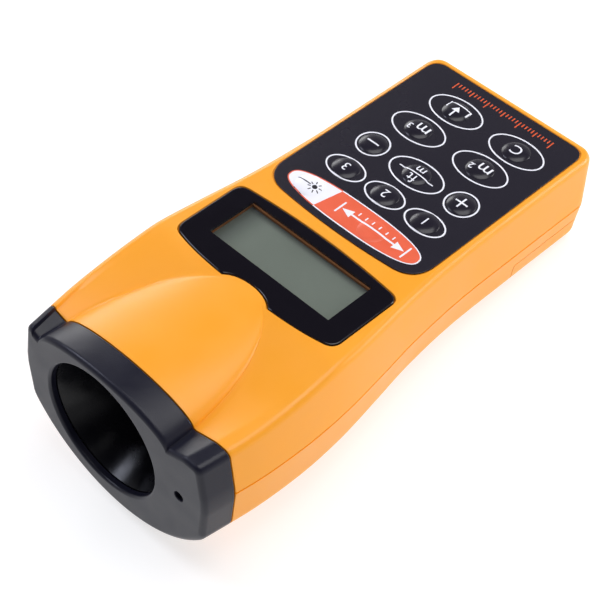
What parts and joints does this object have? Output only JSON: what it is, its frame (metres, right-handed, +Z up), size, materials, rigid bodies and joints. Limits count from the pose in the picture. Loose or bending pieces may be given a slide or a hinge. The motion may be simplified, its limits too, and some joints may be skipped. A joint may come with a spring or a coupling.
{
  "type": "ultrasonic distance meter",
  "caption": "Hand-held distance meter with an acoustic horn in its nose, a laser pointer, a display, a domed keypad and a sliding battery door.",
  "frame": {"origin": "middle of the box's underside, on the surface that the meter lies on, resting on its belly and the lower edge of its tail", "axes": "+Z up, +Y towards the tail, -Y towards the nose, +X towards the laser's side; the keypad leans back towards the tail by 7.6 degrees"},
  "size_m": [0.0782, 0.1678, 0.0553],
  "materials": {
    "housing_orange": "satin moulded ABS with a fine spark-eroded grain",
    "nose_charcoal": "satin charcoal moulded plastic, soft rounded edges",
    "horn_black": "glossy black moulded cone",
    "window_black": "clear acrylic lens with a black printed border",
    "overlay_film": "screen-printed polyester film, fine satin texture",
    "key_film": "embossed dome in the printed film",
    "measure_film": "embossed dome in the orange-red print",
    "laser_film": "embossed dome in the white print",
    "silicone_grey": "moulded silicone",
    "switch_steel": "stamped steel cover on a black base",
    "board_green": "solder-masked glass-fibre board",
    "lcd_glass": "reflective liquid-crystal cell, grey-green",
    "frame_plastic": "moulded black plastic",
    "brass": "turned brass",
    "lens_glass": "polished collimating lens",
    "can_aluminium": "drawn aluminium can",
    "gasket_rubber": "soft black rubber",
    "battery_sleeve": "plain printed steel jacket with a pale band",
    "snap_plastic": "flexible black vinyl",
    "wire_red": "PVC insulation",
    "wire_black": "PVC insulation",
    "screw_steel": "zinc-plated pan head"
  },
  "bodies": {
    "root": {"top_housing": "housing_orange", "bottom_housing": "housing_orange", "nose_cap": "nose_charcoal", "acoustic_horn": "horn_black", "display_window": "window_black", "keypad_overlay": "overlay_film", "main_board": "board_green", "lcd_frame": "frame_plastic", "lcd_panel": "lcd_glass", "zebra_strip": "silicone_grey", "piezo_buzzer": "brass", "ultrasonic_transducer": "can_aluminium", "transducer_gasket": "gasket_rubber", "laser_module": "brass", "laser_lens": "lens_glass", "battery": "battery_sleeve", "battery_snap": "snap_plastic", "battery_lead_red": "wire_red", "battery_lead_black": "wire_black", "switch_memory_1": "switch_steel", "switch_memory_2": "switch_steel", "switch_memory_3": "switch_steel", "switch_plus": "switch_steel", "switch_units": "switch_steel", "switch_minus": "switch_steel", "switch_area": "switch_steel", "switch_volume": "switch_steel", "switch_clear": "switch_steel", "switch_store": "switch_steel", "switch_measure": "switch_steel", "switch_laser": "switch_steel", "housing_screw_1": "screw_steel", "housing_screw_2": "screw_steel", "housing_screw_3": "screw_steel", "housing_screw_4": "screw_steel"},
    "battery_door": {"battery_door": "housing_orange"},
    "memory_1_button": {"key_memory_1": "key_film", "plunger_memory_1": "silicone_grey"},
    "memory_2_button": {"key_memory_2": "key_film", "plunger_memory_2": "silicone_grey"},
    "memory_3_button": {"key_memory_3": "key_film", "plunger_memory_3": "silicone_grey"},
    "plus_button": {"key_plus": "key_film", "plunger_plus": "silicone_grey"},
    "units_button": {"key_units": "key_film", "plunger_units": "silicone_grey"},
    "minus_button": {"key_minus": "key_film", "plunger_minus": "silicone_grey"},
    "area_button": {"key_area": "key_film", "plunger_area": "silicone_grey"},
    "volume_button": {"key_volume": "key_film", "plunger_volume": "silicone_grey"},
    "clear_button": {"key_clear": "key_film", "plunger_clear": "silicone_grey"},
    "store_button": {"key_store": "key_film", "plunger_store": "silicone_grey"},
    "measure_button": {"key_measure": "measure_film", "plunger_measure": "silicone_grey"},
    "laser_button": {"key_laser": "laser_film", "plunger_laser": "silicone_grey"}
  },
  "joints": [
    {"name": "battery_door_slide", "type": "slide", "parent": "root", "child": "battery_door", "axis": [0, 0.9912, -0.1326], "range_m": [0, 0.012]},
    {"name": "memory_1_press", "type": "slide", "parent": "root", "child": "memory_1_button", "axis": [0, -0.1326, -0.9912], "range_m": [0, 0.00035], "stiffness_N_per_m": 1500},
    {"name": "memory_2_press", "type": "slide", "parent": "root", "child": "memory_2_button", "axis": [0, -0.1326, -0.9912], "range_m": [0, 0.00035], "stiffness_N_per_m": 1500},
    {"name": "memory_3_press", "type": "slide", "parent": "root", "child": "memory_3_button", "axis": [0, -0.1326, -0.9912], "range_m": [0, 0.00035], "stiffness_N_per_m": 1500},
    {"name": "plus_press", "type": "slide", "parent": "root", "child": "plus_button", "axis": [0, -0.1326, -0.9912], "range_m": [0, 0.00035], "stiffness_N_per_m": 1500},
    {"name": "units_press", "type": "slide", "parent": "root", "child": "units_button", "axis": [0, -0.1326, -0.9912], "range_m": [0, 0.00035], "stiffness_N_per_m": 1500},
    {"name": "minus_press", "type": "slide", "parent": "root", "child": "minus_button", "axis": [0, -0.1326, -0.9912], "range_m": [0, 0.00035], "stiffness_N_per_m": 1500},
    {"name": "area_press", "type": "slide", "parent": "root", "child": "area_button", "axis": [0, -0.1326, -0.9912], "range_m": [0, 0.00035], "stiffness_N_per_m": 1500},
    {"name": "volume_press", "type": "slide", "parent": "root", "child": "volume_button", "axis": [0, -0.1326, -0.9912], "range_m": [0, 0.00035], "stiffness_N_per_m": 1500},
    {"name": "clear_press", "type": "slide", "parent": "root", "child": "clear_button", "axis": [0, -0.1326, -0.9912], "range_m": [0, 0.00035], "stiffness_N_per_m": 1500},
    {"name": "store_press", "type": "slide", "parent": "root", "child": "store_button", "axis": [0, -0.1326, -0.9912], "range_m": [0, 0.00035], "stiffness_N_per_m": 1500},
    {"name": "measure_press", "type": "slide", "parent": "root", "child": "measure_button", "axis": [0, -0.1326, -0.9912], "range_m": [0, 0.00035], "stiffness_N_per_m": 1500},
    {"name": "laser_press", "type": "slide", "parent": "root", "child": "laser_button", "axis": [0, -0.1326, -0.9912], "range_m": [0, 0.00035], "stiffness_N_per_m": 1500}
  ]
}
